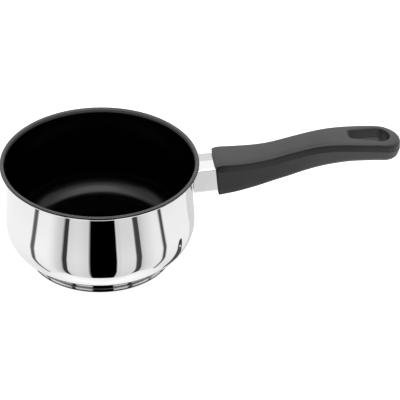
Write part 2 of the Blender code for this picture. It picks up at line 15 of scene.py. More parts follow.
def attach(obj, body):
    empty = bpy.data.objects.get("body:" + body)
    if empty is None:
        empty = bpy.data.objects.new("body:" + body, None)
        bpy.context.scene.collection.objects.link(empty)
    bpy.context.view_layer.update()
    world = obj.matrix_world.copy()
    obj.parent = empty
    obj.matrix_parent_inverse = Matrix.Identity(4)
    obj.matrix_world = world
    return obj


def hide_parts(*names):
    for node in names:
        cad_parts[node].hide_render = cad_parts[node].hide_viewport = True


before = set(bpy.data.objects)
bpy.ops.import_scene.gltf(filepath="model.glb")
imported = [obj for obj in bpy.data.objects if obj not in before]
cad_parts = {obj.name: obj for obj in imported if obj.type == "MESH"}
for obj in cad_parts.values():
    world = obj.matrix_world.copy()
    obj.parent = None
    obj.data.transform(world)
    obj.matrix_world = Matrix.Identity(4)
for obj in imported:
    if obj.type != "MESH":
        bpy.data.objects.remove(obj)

QUARTER = pi / 2
TURN = 2 * pi

# Driving dimensions
BELLY_RADIUS = 0.0714
RIM_HEIGHT = 0.0822
BASE_HEIGHT = 0.0070
HANDLE_LENGTH = 0.1414
GAP = 0.0003

# Bowl
SHEET = 0.0006
COAT = 0.0001
COAT_GAP = 0.00002
CORNER_RADIUS = 0.0232
WALL_BOW_RADIUS = 0.107
FLARE_RADIUS = 0.163
RIM_OVERHANG = 0.0036
BEAD_RADIUS = 0.0016
CURL_END = radians(-60.0)
COAT_END = radians(3.0)
RIM_RADIUS = BELLY_RADIUS + RIM_OVERHANG

# Layered base
BASE_INSET = 0.0166
CAP_SHEET = 0.0008
CAP_HEIGHT = 0.0036
CAP_EDGE_RADIUS = 0.0014
DISC_EDGE_CHAMFER = 0.0003
BASE_RADIUS = BELLY_RADIUS - BASE_INSET

# Flame guard
GUARD_WIDTH = 0.0235
GUARD_HEIGHT = 0.0211
GUARD_DROP = 0.0070
GUARD_SHEET = 0.0008
GUARD_BEND_RADIUS = 0.0012
GUARD_FOOT_RADIUS = 0.0026
GUARD_CROWN = 0.0005
GUARD_RISE = radians(1.6)
GUARD_TAPER = radians(1.2)
GUARD_MID_HEIGHT = RIM_HEIGHT - GUARD_DROP - GUARD_HEIGHT / 2

# Screw's axis and bores, and the bracket's web
SCREW_SLOPE = radians(8.5)
SCREW_RADIUS = 0.0025
SCREW_HEAD_RADIUS = 0.0041
SEAT_DISTANCE = 0.0400
WEB_DISTANCE = 0.0820
WEB_SHEET = 0.0015

# Handle
SPIGOT_LENGTH = 0.0056
FACE_TOP_MARGIN = 0.00495
FACE_BOTTOM_MARGIN = 0.00295
FACE_SIDE_MARGIN = 0.00185
FACE_SLOPE = radians(5.0)
FACE_BLEND = 0.0200
FRONT_EDGE_RADIUS = 0.0007
FRONT_ROLL_DROP = 0.0016
FRONT_ROLL_LENGTH = 0.0065
HANDLE_RISE = 0.0100
HANDLE_CROWN = 0.0010
TOP_EDGE_RADIUS = 0.0030
BOTTOM_EDGE_RADIUS = 0.0050
PARTING_DROP = 0.0079
PARTING_STEP = 0.00025
SIDE_LEAN = radians(12.0)
TIP_LEAN = radians(14.0)
TIP_RADIUS = 0.0146
EDGE_LIMIT_SHARE = 0.46
HANDLE_START = WEB_DISTANCE + SPIGOT_LENGTH
HANDLE_LEVEL = GUARD_MID_HEIGHT + GUARD_HEIGHT / 2 + FACE_TOP_MARGIN
HANDLE_DEPTH = GUARD_HEIGHT + FACE_TOP_MARGIN + FACE_BOTTOM_MARGIN
HANDLE_WIDTH = GUARD_WIDTH + 2 * FACE_SIDE_MARGIN

# Station as a share of the handle's length, beside a height as a share of its rise or depth, or a width
TOP_LINE_SHARES = (
    (0.0, 0.06), (0.05, 0.03), (0.10, 0.005), (0.16, 0.009), (0.22, 0.05), (0.28, 0.145), (0.34, 0.31),
    (0.40, 0.51), (0.46, 0.695), (0.52, 0.855), (0.58, 0.965), (0.64, 1.0), (0.70, 0.975), (0.76, 0.915),
    (0.82, 0.845), (0.86, 0.79), (0.90, 0.70), (0.94, 0.56), (1.0, 0.30),
)
BOTTOM_LINE_SHARES = (
    (0.0, 1.0), (0.06, 0.970), (0.12, 0.930), (0.22, 0.841), (0.32, 0.729), (0.39, 0.656), (0.455, 0.582),
    (0.525, 0.510), (0.595, 0.446), (0.66, 0.393), (0.73, 0.352), (0.80, 0.348), (0.86, 0.362), (1.0, 0.417),
)
WIDTH_SHARES = (
    (0.0, 1.0), (0.06, 0.995), (0.12, 0.983), (0.22, 0.92), (0.28, 0.877), (0.34, 0.853), (0.40, 0.842),
    (0.46, 0.84), (0.52, 0.852), (0.58, 0.88), (0.64, 0.922), (0.70, 0.967), (0.76, 1.01), (0.82, 1.033),
    (0.88, 1.035), (1.0, 1.035),
)
BOTTOM_EDGE_SHARES = ((0.0, 0.3), (0.3, 0.6), (0.6, 1.0), (1.0, 1.0))
LEAN_SHARES = ((0.0, 0.15), (0.35, 0.25), (0.6, 1.0), (1.0, 1.0))

# Hanging hole
HOLE_LENGTH = 0.0312
HOLE_TIP_MARGIN = 0.0085
HOLE_WIDE_RADIUS = 0.0086
HOLE_NARROW_WIDTH = 0.0106
HOLE_CORNER_RADIUS = 0.0028
HOLE_EDGE = 0.0012
HOLE_EDGE_START = radians(14.0)
HOLE_DRAFT = 0.0003
HOLE_WIDE_X = HANDLE_START + HANDLE_LENGTH - HOLE_TIP_MARGIN - HOLE_WIDE_RADIUS
HOLE_CORNER_X = HANDLE_START + HANDLE_LENGTH - HOLE_TIP_MARGIN - HOLE_LENGTH + HOLE_CORNER_RADIUS
HOLE_CORNER_Y = HOLE_NARROW_WIDTH / 2 - HOLE_CORNER_RADIUS

# Steps of the finer meshes
TURN_STEPS = 256
BORE_STEPS = 48
CORNER_STEPS = 28
WALL_STEPS = 20
FLARE_STEPS = 14
CURL_STEPS = 24
CAP_STEPS = 8
BEND_STEPS = 8
CROWN_STEPS = 10
SIDE_STEPS = 5
UNDER_STEPS = 6
FRONT_STEPS = 6
ROLL_STEPS = 8
BODY_STEPS = 120
TIP_STEPS = 26
TIP_END_ANGLE = radians(89.4)
HOLE_ROUND_STEPS = 56
HOLE_CORNER_STEPS = 12
MOUTH_STEPS = 5

# Where faces meet smoothly, how far cutters reach past what they cut, and points that count as one
SMOOTH_ANGLE = radians(30.0)
CUTTER_OVERRUN = 0.0020
MERGE_DISTANCE = 0.000001

# Camera
VIEW_HEIGHT = radians(34.62)
VIEW_TURN = radians(-8.0)
VIEW_DISTANCE = 3.0465
VIEW_SIDE = 0.07547
VIEW_LIFT = 0.03862
LENS = 360.0
SENSOR = 36.0

# Finishes: a grain is a noise's scale per metre and its detail, and a run is a low value, a high value and
# what its source starts and ends at, where that isn't the usual start and end
METAL = 1.0
USUAL_START = 0.3
USUAL_END = 0.7

# Polished steel, from clean to smudged
STEEL_COLOUR = (0.93, 0.93, 0.925)
STEEL_ROUGHNESS = 0.02
SMUDGE_GRAIN = (26.0, 5.0)
SMUDGE_ROUGHNESS_RUN = (0.004, 0.022, 0.4, 0.8)
SMUDGE_COLOUR_RUN = ((0.945, 0.945, 0.94), (0.90, 0.90, 0.895), 0.35, 0.75)
STEEL_WAVE_GRAIN = (55.0, 1.0)
STEEL_WAVE_DEPTH = 0.000006

# The aluminium disc's edge, darker up to a height above its seam
DISC_COLOUR = (0.84, 0.84, 0.85)
DISC_ROUGHNESS = 0.08
DISC_RING_GRAIN = (900.0, 2.0, (0.02, 0.02, 4.0))
DISC_RING_DEPTH = 0.000002
DISC_ROUGHNESS_RUN = (0.03, 0.06)
DISC_COLOUR_RUN = ((0.78, 0.78, 0.79), (0.90, 0.90, 0.91))
SEAM_DARK_COLOUR = (0.16, 0.16, 0.155)
SEAM_UNDARKENED_RUN = (0.10, 1.0, 0.0052, 0.0058)

# The base cap, with painted shade up to a height at its foot
CAP_COLOUR = (0.74, 0.74, 0.74)
CAP_ROUGHNESS = 0.08
CAP_RING_SCALE = 2600.0
CAP_RING_DEPTH = 0.000003
CAP_ROUGHNESS_RUN = (0.03, 0.07)
CAP_COLOUR_RUN = ((0.62, 0.62, 0.62), (0.72, 0.72, 0.72))
FOOT_SHADE_COLOUR = (0.10, 0.10, 0.10)
FOOT_UNSHADED_RUN = (0.1, 1.0, 0.0016, 0.0023)

# The non-stick coat: dull on the bowl's flat bottom, greyer over the rim, and with painted shade at its outer
# edge
COAT_COLOUR = (0.001, 0.001, 0.001)
COAT_ROUGHNESS = 0.2
COAT_CLOUD_GRAIN = (60.0, 4.0)
COAT_ROUGHNESS_RUN = (0.17, 0.23)
COAT_INSIDE_RUN = ((0.0004, 0.0004, 0.0004), (0.0009, 0.0009, 0.0009))
COAT_RIM_RUN = ((0.084, 0.084, 0.083), (0.100, 0.100, 0.099))
COAT_EDGE_SHADE_COLOUR = (0.004, 0.004, 0.004)
COAT_SHINE_RUN = (0.03, 0.37, 0.0106, 0.0121)
AT_RIM_RUN = (0.0, 1.0, 0.0790, 0.0799)
EDGE_SHADE_RUN = (1.0, 0.0, 0.0814, 0.0818)
ORANGE_PEEL_GRAIN = (1500.0, 2.0)
ORANGE_PEEL_DEPTH = 0.000002

# The plating on the pieces inside
PLATING_COLOUR = (0.55, 0.55, 0.56)
PLATING_ROUGHNESS = 0.35
PLATING_CLOUD_GRAIN = (240.0, 5.0)
PLATING_ROUGHNESS_RUN = (0.28, 0.48)
PLATING_COLOUR_RUN = ((0.48, 0.48, 0.50), (0.62, 0.62, 0.61))
PLATING_BUMP_GRAIN = (1800.0, 2.0)
PLATING_BUMP_DEPTH = 0.00001

# The handle's phenolic
PHENOLIC_COLOUR = (0.020, 0.020, 0.021)
PHENOLIC_ROUGHNESS = 0.36
MOTTLE_GRAIN = (95.0, 6.0)
MOTTLE_ROUGHNESS_RUN = (0.40, 0.48)
MOTTLE_TONE_RUN = (0.9, 1.1)
MOULD_GRAIN = (2600.0, 3.0)
MOULD_DEPTH = 0.000010
# Painted light and shade: its tone against the upward share of the surface's direction
PAINTED_LIGHT_BY_FACING = (
    (-1.0, 0.030), (-0.60, 0.100), (-0.35, 0.078), (-0.22, 0.058), (-0.05, 0.040), (0.0, 0.022),
    (0.35, 0.012), (0.8, 0.050), (1.0, 0.060),
)
# Painted shade: the share of their tone that the handle's sides keep at the front edge, and behind it above
# the parting line
FRONT_TONE_SHARE = 0.15
FRONT_LINE_START = 0.0003
FRONT_LINE_END = 0.0013
FRONT_SHADE_START = 0.0010
FRONT_SHADE_END = 0.0110
SIDE_UPRIGHT = 0.5
# How much lighter the handle is towards its tip, and between which distances that grows
TIP_LIGHTENING = 1.22
TIP_LIGHTENING_START = 0.165
TIP_LIGHTENING_END = 0.205
# Painted light on the hanging hole's walls: the box round them, and how much lighter they are on both sides
# of the parting line, whose level falls towards the tip
HOLE_LIGHT_START = 0.1885
HOLE_LIGHT_END = 0.2222
HOLE_LIGHT_FADE_START = 0.2125
HOLE_LIGHT_FADE_END = 0.2155
HOLE_LIGHT_SIDE = 0.0100
HOLE_LIGHT_UPRIGHT = 0.6
HOLE_LIGHT_ABOVE = 2.0
HOLE_LIGHT_BELOW = 3.6
PARTING_SLOPE = 0.13
PARTING_LEVEL = 0.1066
PARTING_LINE = 0.0004

# Studio
WHITE = (1.0, 1.0, 1.0)
FLOOR_RADIUS = 6.0
FLOOR_STEPS = 96
FLOOR_TONE = 0.80
FLOOR_GLOW = 0.80
ROOM_LIGHT = 0.55
LAMP_SIZE = 1.6
LAMP_PLACE = (-0.25, -0.55, 1.7)
LAMP_POWER = 13.0
BOARD_RADIUS = 0.127
BARE_TABLE_RADIUS = 0.5
SHADE_MARGIN = 0.0020
SHADE_TONE = 0.12

# What the polished steel sees on a reflector round the pan: (azimuth from the camera's side, tone)
REFLECTOR_RADIUS = 1.0
REFLECTOR_HEIGHT = 0.05
REFLECTOR_DETAIL = 6
REFLECTED_TONES = (
    (-180.0, 0.95), (-97.0, 0.94), (-95.2, 0.115), (-90.3, 0.115), (-88.8, 0.94), (-72.0, 0.945),
    (-66.5, 0.875), (-61.0, 0.74), (-52.4, 0.58), (-51.5, 0.04), (-46.0, 0.04), (-45.0, 0.72), (-34.0, 0.765),
    (-20.2, 0.665), (-19.4, 0.0), (11.3, 0.0), (12.1, 0.735), (15.3, 0.66), (18.0, 0.735), (33.8, 0.745),
    (35.3, 0.055), (41.0, 0.055), (42.0, 0.575), (47.8, 0.705), (54.5, 0.79), (61.5, 0.875), (69.5, 0.885),
    (71.8, 0.07), (74.8, 0.07), (76.6, 0.91), (125.0, 0.92), (127.5, 0.70),
)
# How the stripes widen and darken downwards from what they are at a level, a share of the way down
STRIPE_SPREAD = 0.06
STRIPE_LEVEL = 0.53
TONE_FALL = 0.35
# Where those stripes end above the table's reflection: (azimuth, share of the way down)
STRIPE_ENDS = (
    (-180.0, 0.88), (-103.0, 0.875), (-92.0, 0.85), (-60.0, 0.76), (-52.0, 0.735), (-48.8, 0.775),
    (-45.0, 0.80), (-16.0, 0.85), (8.0, 0.85), (22.0, 0.838), (28.0, 0.812), (34.0, 0.787), (36.0, 0.765),
    (41.0, 0.725), (60.0, 0.75), (73.0, 0.80), (79.0, 0.815), (180.0, 0.88),
)
STRIPE_END_BLUR = 0.006
TABLE_TONE = 0.88
TABLE_RISE = 0.9
HORIZON_START = -0.02
HORIZON_END = 0.06
LOW_SKY_TONE = 0.74
SKY_TONE = 1.0
SKY_STEP = 0.573
SKY_STEP_BLUR = 0.004
# A bright light overhead, which fades to either side between two squares of the distance
OVERHEAD_TONE = 2.85
OVERHEAD_STEP = 0.74
OVERHEAD_BLUR = 0.02
OVERHEAD_FADE_START = 0.04
OVERHEAD_FADE_END = 0.40
# Dark ceiling round a point a little behind the zenith, and dark room in front under the sky
CEILING_TILT = radians(10.0)
CEILING_REACH = cos(radians(26.5))
CEILING_BLUR = 0.01
CEILING_TONE = 0.08
FRONT_TONE = 0.15
FRONT_START = -0.50
FRONT_END = -0.25


def grey(tone):
    """A grey as a colour."""
    return (tone, tone, tone)


def material(name, colour, metallic, roughness):
    """A surface in one finish, with its nodes at hand."""
    surface = bpy.data.materials.new(name)
    surface.use_nodes = True
    shader = surface.node_tree.nodes["Principled BSDF"]
    shader.inputs["Base Color"].default_value = (*colour, 1.0)
    shader.inputs["Metallic"].default_value = metallic
    shader.inputs["Roughness"].default_value = roughness
    return surface, surface.node_tree, shader


def empty_surface(name):
    """A surface with no shader yet, its nodes and the socket that takes one."""
    surface = bpy.data.materials.new(name)
    surface.use_nodes = True
    tree = surface.node_tree
    tree.nodes.remove(tree.nodes["Principled BSDF"])
    return surface, tree, tree.nodes["Material Output"].inputs["Surface"]


def node(tree, kind, **settings):
    """A new node with its settings."""
    new = tree.nodes.new(kind)
    for key, value in settings.items():
        setattr(new, key, value)
    return new


def math(tree, operation, first, second=None):
    """A math node fed by sockets or numbers."""
    new = node(tree, "ShaderNodeMath", operation=operation)
    for index, value in enumerate((first, second)):
        if isinstance(value, bpy.types.NodeSocket):
            tree.links.new(value, new.inputs[index])
        elif value is not None:
            new.inputs[index].default_value = value
    return new.outputs[0]


def multiply_add(tree, source, factor, offset):
    """The source times a factor plus an offset."""
    result = math(tree, 'MULTIPLY_ADD', source, factor)
    result.node.inputs[2].default_value = offset
    return result


def mix(tree, share, first, second):
    """Mixes two colours, each a socket or a plain colour."""
    blend = node(tree, "ShaderNodeMix", data_type='RGBA')
    tree.links.new(share, blend.inputs["Factor"])
    sockets = [socket for socket in blend.inputs if socket.type == 'RGBA']
    for socket, value in zip(sockets, (first, second)):
        if isinstance(value, bpy.types.NodeSocket):
            tree.links.new(value, socket)
        else:
            socket.default_value = (*value, 1.0)
    return next(socket for socket in blend.outputs if socket.type == 'RGBA')


def noise(tree, scale, detail, stretch=(1.0, 1.0, 1.0)):
    """Noise over the object's own space, with the scale per metre."""
    place = node(tree, "ShaderNodeTexCoord")
    mapping = node(tree, "ShaderNodeMapping")
    mapping.inputs["Scale"].default_value = stretch
    texture = node(tree, "ShaderNodeTexNoise")
    texture.inputs["Scale"].default_value = scale
    texture.inputs["Detail"].default_value = detail
    tree.links.new(place.outputs["Object"], mapping.inputs["Vector"])
    tree.links.new(mapping.outputs["Vector"], texture.inputs["Vector"])
    return texture.outputs["Fac"]


def spread(tree, source, low, high, start=USUAL_START, end=USUAL_END):
    """A number that runs from low to high as the source runs from start to end."""
    ramp = node(tree, "ShaderNodeMapRange")
    for name, value in (("From Min", start), ("From Max", end), ("To Min", low), ("To Max", high)):
        ramp.inputs[name].default_value = value
    tree.links.new(source, ramp.inputs["Value"])
    return ramp.outputs["Result"]


def tint(tree, source, low, high, start=USUAL_START, end=USUAL_END):
    """A colour that runs from low to high as the source runs from start to end."""
    ramp = node(tree, "ShaderNodeValToRGB")
    ramp.color_ramp.elements[0].position = start
    ramp.color_ramp.elements[0].color = (*low, 1.0)
    ramp.color_ramp.elements[1].position = end
    ramp.color_ramp.elements[1].color = (*high, 1.0)
    tree.links.new(source, ramp.inputs["Fac"])
    return ramp.outputs["Color"]


def tones(tree, source, stops):
    """Greys that follow the source through (place, tone) stops."""
    ramp = node(tree, "ShaderNodeValToRGB")
    elements = ramp.color_ramp.elements
    for index, (place, tone) in enumerate(stops):
        element = elements[index] if index < 2 else elements.new(place)
        element.position = place
        element.color = (*grey(tone), 1.0)
    tree.links.new(source, ramp.inputs["Fac"])
    return ramp.outputs["Color"]


def bump(tree, shader, source, depth):
    """Raises the surface by the source over a depth."""
    lift = node(tree, "ShaderNodeBump")
    lift.inputs["Distance"].default_value = depth
    lift.inputs["Strength"].default_value = 1.0
    tree.links.new(source, lift.inputs["Height"])
    tree.links.new(lift.outputs["Normal"], shader.inputs["Normal"])


def place_in_part(tree):
    """The X, Y and Z of a point in the part's own space."""
    place = node(tree, "ShaderNodeTexCoord")
    parts = node(tree, "ShaderNodeSeparateXYZ")
    tree.links.new(place.outputs["Object"], parts.inputs["Vector"])
    return parts.outputs


def radius_from_axis(tree):
    """Distance from the bowl's axis."""
    place = place_in_part(tree)
    squares = [math(tree, 'MULTIPLY', place[axis], place[axis]) for axis in ("X", "Y")]
    return math(tree, 'SQRT', math(tree, 'ADD', *squares))


def height_in_part(tree):
    """Height above the table."""
    return place_in_part(tree)["Z"]


def polished_steel():
    """Mirror-polished stainless steel with faint smudges and a slight waviness."""
    surface, tree, shader = material("polished_steel", STEEL_COLOUR, METAL, STEEL_ROUGHNESS)
    smudge = noise(tree, *SMUDGE_GRAIN)
    tree.links.new(spread(tree, smudge, *SMUDGE_ROUGHNESS_RUN), shader.inputs["Roughness"])
    tree.links.new(tint(tree, smudge, *SMUDGE_COLOUR_RUN), shader.inputs["Base Color"])
    bump(tree, shader, noise(tree, *STEEL_WAVE_GRAIN), STEEL_WAVE_DEPTH)
    return surface


def turned_aluminium():
    """The disc's edge, polished on the lathe in fine rings, darker along its seam."""
    surface, tree, shader = material("turned_aluminium", DISC_COLOUR, METAL, DISC_ROUGHNESS)
    rings = noise(tree, *DISC_RING_GRAIN)
    tree.links.new(spread(tree, rings, *DISC_ROUGHNESS_RUN), shader.inputs["Roughness"])
    undarkened = spread(tree, height_in_part(tree), *SEAM_UNDARKENED_RUN)
    colour = mix(tree, undarkened, SEAM_DARK_COLOUR, tint(tree, rings, *DISC_COLOUR_RUN))
    tree.links.new(colour, shader.inputs["Base Color"])
    bump(tree, shader, rings, DISC_RING_DEPTH)
    return surface


def brushed_cap():
    """The base cap's steel, brushed round its edge and over its underside, with painted shade at its foot."""
    surface, tree, shader = material("brushed_cap", CAP_COLOUR, METAL, CAP_ROUGHNESS)
    texture = node(tree, "ShaderNodeTexNoise", noise_dimensions='1D')
    texture.inputs["Scale"].default_value = CAP_RING_SCALE
    tree.links.new(radius_from_axis(tree), texture.inputs["W"])
    rings = texture.outputs["Fac"]
    tree.links.new(spread(tree, rings, *CAP_ROUGHNESS_RUN), shader.inputs["Roughness"])
    # Painted shade at the foot, where the cap meets the table
    undarkened = spread(tree, height_in_part(tree), *FOOT_UNSHADED_RUN)
    colour = mix(tree, undarkened, FOOT_SHADE_COLOUR, tint(tree, rings, *CAP_COLOUR_RUN))
    tree.links.new(colour, shader.inputs["Base Color"])
    bump(tree, shader, rings, CAP_RING_DEPTH)
    return surface


def nonstick_coating():
    """The black fired coat: satin, with a faint orange peel, greyer over the rim and with painted shade along
    its outer edge.
    """
    surface, tree, shader = material("nonstick_coating", COAT_COLOUR, 0.0, COAT_ROUGHNESS)
    height = height_in_part(tree)
    tree.links.new(spread(tree, height, *COAT_SHINE_RUN), shader.inputs["Specular IOR Level"])
    cloud = noise(tree, *COAT_CLOUD_GRAIN)
    tree.links.new(spread(tree, cloud, *COAT_ROUGHNESS_RUN), shader.inputs["Roughness"])
    at_rim = spread(tree, height, *AT_RIM_RUN)
    coat = mix(tree, at_rim, tint(tree, cloud, *COAT_INSIDE_RUN), tint(tree, cloud, *COAT_RIM_RUN))
    # Painted shade along the coat's outer lower edge, under the bead
    outer = math(tree, 'GREATER_THAN', radius_from_axis(tree), RIM_RADIUS - BEAD_RADIUS)
    edge_shade = math(tree, 'MULTIPLY', outer, spread(tree, height, *EDGE_SHADE_RUN))
    tree.links.new(mix(tree, edge_shade, coat, COAT_EDGE_SHADE_COLOUR), shader.inputs["Base Color"])
    bump(tree, shader, noise(tree, *ORANGE_PEEL_GRAIN), ORANGE_PEEL_DEPTH)
    return surface


def plated_steel():
    """Dull zinc plating on the pieces inside."""
    surface, tree, shader = material("plated_steel", PLATING_COLOUR, METAL, PLATING_ROUGHNESS)
    cloud = noise(tree, *PLATING_CLOUD_GRAIN)
    tree.links.new(spread(tree, cloud, *PLATING_ROUGHNESS_RUN), shader.inputs["Roughness"])
    tree.links.new(tint(tree, cloud, *PLATING_COLOUR_RUN), shader.inputs["Base Color"])
    bump(tree, shader, noise(tree, *PLATING_BUMP_GRAIN), PLATING_BUMP_DEPTH)
    return surface


def painted_hole_light(tree, place, upward):
    """How many times lighter painted light makes the upright walls of the hanging hole, and 1 elsewhere."""
    inside = math(tree, 'LESS_THAN', math(tree, 'ABSOLUTE', upward), HOLE_LIGHT_UPRIGHT)
    for test in (
            math(tree, 'LESS_THAN', math(tree, 'ABSOLUTE', place["Y"]), HOLE_LIGHT_SIDE),
            math(tree, 'GREATER_THAN', place["X"], HOLE_LIGHT_START),
            math(tree, 'LESS_THAN', place["X"], HOLE_LIGHT_END)):
        inside = math(tree, 'MULTIPLY', inside, test)
    level = multiply_add(tree, place["X"], PARTING_SLOPE, -PARTING_LEVEL)
    over = math(tree, 'ADD', place["Z"], level)
    gain = spread(tree, over, HOLE_LIGHT_BELOW, HOLE_LIGHT_ABOVE, -PARTING_LINE, PARTING_LINE)
    line = spread(tree, math(tree, 'ABSOLUTE', over), 0.0, 1.0, PARTING_LINE / 2, PARTING_LINE)
    fade = spread(tree, place["X"], 1.0, 0.0, HOLE_LIGHT_FADE_START, HOLE_LIGHT_FADE_END)
    # Painted light on the hole's walls, stronger below the parting line than above it
    painted_light = math(tree, 'MULTIPLY', math(tree, 'MULTIPLY', inside, gain), math(tree, 'MULTIPLY', line, fade))
    return math(tree, 'ADD', painted_light, 1.0)


def painted_front_shade(tree, place, upward):
    """The share of their tone that the handle's sides keep under painted shade near the front face, and 1
    elsewhere.
    """
    slope = tan(FACE_SLOPE)
    sloped = multiply_add(tree, place["Z"], slope, -GUARD_MID_HEIGHT * slope - HANDLE_START)
    behind = math(tree, 'ADD', place["X"], sloped)
    line = spread(tree, behind, FRONT_TONE_SHARE, 1.0, FRONT_LINE_START, FRONT_LINE_END)
    above = math(tree, 'GREATER_THAN', place["Z"], HANDLE_LEVEL - PARTING_DROP)
    shade = spread(tree, behind, 1.0 - FRONT_TONE_SHARE, 0.0, FRONT_SHADE_START, FRONT_SHADE_END)
    kept = math(tree, 'SUBTRACT', 1.0, math(tree, 'MULTIPLY', above, shade))
    lost = math(tree, 'SUBTRACT', 1.0, math(tree, 'MULTIPLY', kept, line))
    side = math(tree, 'LESS_THAN', upward, SIDE_UPRIGHT)
    return math(tree, 'SUBTRACT', 1.0, math(tree, 'MULTIPLY', side, lost))


def phenolic():
    """Moulded black phenolic: satin, fine grain; painted light and shade by facing, at the front and in the
    hanging hole; lighter at the tip.
    """
    surface, tree, shader = material("phenolic", PHENOLIC_COLOUR, 0.0, PHENOLIC_ROUGHNESS)
    mottle = noise(tree, *MOTTLE_GRAIN)
    tree.links.new(spread(tree, mottle, *MOTTLE_ROUGHNESS_RUN), shader.inputs["Roughness"])
    facing = node(tree, "ShaderNodeNewGeometry")
    parts = node(tree, "ShaderNodeSeparateXYZ")
    tree.links.new(facing.outputs["Normal"], parts.inputs["Vector"])
    upward = parts.outputs["Z"]
    # Painted light and shade: lighter or darker by which way the face points
    painted_light_stops = [((height + 1) / 2, tone) for height, tone in PAINTED_LIGHT_BY_FACING]
    tone = tones(tree, multiply_add(tree, upward, 1 / 2, 1 / 2), painted_light_stops)
    place = place_in_part(tree)
    for gain in (
            spread(tree, mottle, *MOTTLE_TONE_RUN),
            spread(tree, place["X"], 1.0, TIP_LIGHTENING, TIP_LIGHTENING_START, TIP_LIGHTENING_END),
            painted_front_shade(tree, place, upward),
            painted_hole_light(tree, place, upward)):
        tone = math(tree, 'MULTIPLY', tone, gain)
    tree.links.new(tone, shader.inputs["Base Color"])
    bump(tree, shader, noise(tree, *MOULD_GRAIN), MOULD_DEPTH)
    return surface


def arc(centre, radius, start, end, steps):
    """Points along a circle from one angle to another."""
    angles = [start + (end - start) * step / steps for step in range(steps + 1)]
    return [Vector((centre[0] + radius * cos(angle), centre[1] + radius * sin(angle))) for angle in angles]


def between(start, end, steps):
    """Even steps from just after the start to the end."""
    return [start + (end - start) * step / steps for step in range(1, steps + 1)]


def straight(start, end, steps):
    """Points of a straight line, from just after its start to its end."""
    return [start.lerp(end, share) for share in between(0, 1, steps)]


def finished(name, shape, surface):
    """Cleans a mesh, turns its faces outward and links it as a named piece."""
    bmesh.ops.remove_doubles(shape, verts=shape.verts, dist=MERGE_DISTANCE)
    bmesh.ops.recalc_face_normals(shape, faces=shape.faces)
    mesh = bpy.data.meshes.new(name)
    shape.to_mesh(mesh)
    shape.free()
    mesh.shade_smooth()
    mesh.set_sharp_from_angle(angle=SMOOTH_ANGLE)
    if surface:
        mesh.materials.append(surface)
    piece = bpy.data.objects.new(name, mesh)
    bpy.context.scene.collection.objects.link(piece)
    return piece


def turned(name, section, surface=None, steps=TURN_STEPS):
    """Turns a closed section round the Z axis."""
    shape = bmesh.new()
    points = [shape.verts.new((radius, 0, height)) for radius, height in section]
    pairs = zip(points, points[1:] + points[:1])
    edges = [shape.edges.new(pair) for pair in pairs if pair[0].co.x > 0 or pair[1].co.x > 0]
    bmesh.ops.spin(shape, geom=edges, axis=(0, 0, 1), cent=(0, 0, 0), angle=TURN, steps=steps,
                   use_merge=True, use_duplicate=False)
    return finished(name, shape, surface)


def lofted(name, rings, surface=None, closed_loop=False):
    """Skins rings of equal point counts, with flat ends or joined end to start."""
    shape = bmesh.new()
    loops = [[shape.verts.new(point) for point in ring] for ring in rings]
    pairs = list(zip(loops, loops[1:] + loops[:1] if closed_loop else loops[1:]))
    for one, other in pairs:
        for index in range(len(one)):
            after = (index + 1) % len(one)
            shape.faces.new((one[index], one[after], other[after], other[index]))
    if not closed_loop:
        shape.faces.new(loops[0])
        shape.faces.new(loops[-1])
    return finished(name, shape, surface)


def cut_out(piece, cutters):
    """Takes the cutters' space out of a piece for good."""
    for cutter in cutters:
        modifier = piece.modifiers.new("cut", 'BOOLEAN')
        modifier.operation = 'DIFFERENCE'
        modifier.solver = 'EXACT'
        modifier.object = cutter
    shaped = piece.evaluated_get(bpy.context.evaluated_depsgraph_get())
    mesh = bpy.data.meshes.new_from_object(shaped)
    piece.modifiers.clear()
    piece.data = mesh
    mesh.set_sharp_from_angle(angle=SMOOTH_ANGLE)
    for cutter in cutters:
        bpy.data.objects.remove(cutter)


def circle_meeting(centre, radius, other_centre, other_radius):
    """The lower of the two points that lie at the given radii from two centres."""
    line = other_centre - centre
    along = (radius ** 2 - other_radius ** 2 + line.length_squared) / (2 * line.length)
    across = sqrt(radius ** 2 - along ** 2)
    direction = line.normalized()
    return centre + along * direction + across * Vector((direction.y, -direction.x))


def bowl_arcs():
    """Centres and angles of the bowl's tangent arcs: corner, wall, flare and the curl inside the bead."""
    corner = Vector((BELLY_RADIUS - CORNER_RADIUS, BASE_HEIGHT + CORNER_RADIUS))
    wall = Vector((BELLY_RADIUS - WALL_BOW_RADIUS, BASE_HEIGHT + CORNER_RADIUS))
    curl = Vector((RIM_RADIUS - BEAD_RADIUS, RIM_HEIGHT - BEAD_RADIUS))
    curl_radius = BEAD_RADIUS - SHEET - COAT_GAP - COAT
    flare = circle_meeting(wall, WALL_BOW_RADIUS + FLARE_RADIUS, curl, FLARE_RADIUS - curl_radius)
    lean = atan2(flare.y - wall.y, flare.x - wall.x)
    curl_start = atan2(curl.y - flare.y, curl.x - flare.x)
    return corner, wall, flare, curl, curl_radius, lean, curl_start


def bowl_wall(depth):
    """The line that lies a depth inside the bowl's outer face, from the axis to the end of the flare."""
    corner, wall, flare, _, _, lean, curl_start = bowl_arcs()
    line = [Vector((0, BASE_HEIGHT + depth))]
    line += arc(corner, CORNER_RADIUS - depth, -QUARTER, 0, CORNER_STEPS)
    line += arc(wall, WALL_BOW_RADIUS - depth, 0, lean, WALL_STEPS)[1:]
    line += arc(flare, FLARE_RADIUS + depth, pi + lean, curl_start, FLARE_STEPS)[1:]
    return line


def bowl_face(depth, curl_end):
    """The same line, carried on round the rim's curl."""
    _, _, _, curl, curl_radius, _, curl_start = bowl_arcs()
    return bowl_wall(depth) + arc(curl, curl_radius + depth, curl_start, curl_end, CURL_STEPS)[1:]


